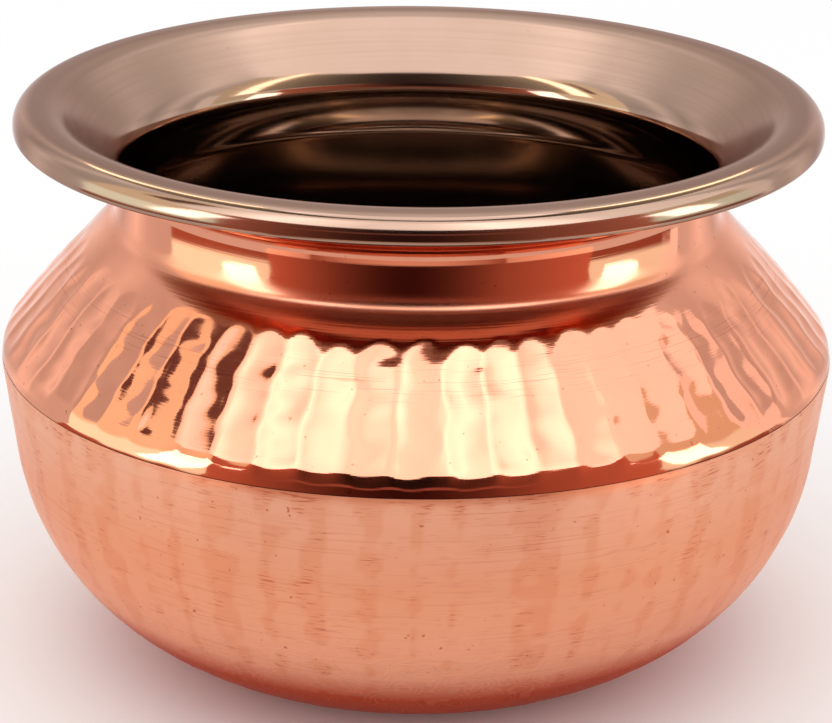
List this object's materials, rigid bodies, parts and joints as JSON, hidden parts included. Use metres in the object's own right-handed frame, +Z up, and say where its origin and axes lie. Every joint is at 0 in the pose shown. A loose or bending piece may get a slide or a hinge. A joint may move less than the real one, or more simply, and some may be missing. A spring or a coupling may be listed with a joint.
{
  "type": "handi serving bowl",
  "caption": "Round-bellied serving handi with a steel liner, a flared rolled steel rim and a hammered copper jacket, for serving food at the table.",
  "frame": {"origin": "centre of the flat base, on the surface that the bowl stands on", "axes": "+Z up along the bowl's axis of rotation, out of the mouth; the bowl is round, so X and Y have no front or side"},
  "size_m": [0.1468, 0.1468, 0.0996],
  "materials": {
    "liner_steel": "spun and polished stainless steel with a warm tint and fine circular marks",
    "hammered_copper": "polished copper, hand hammered on the shoulder",
    "satin_copper": "copper brushed along the circumference to a satin shine"
  },
  "bodies": {
    "root": {"steel_liner": "liner_steel", "copper_shoulder": "hammered_copper", "copper_bowl": "satin_copper"}
  },
  "joints": []
}
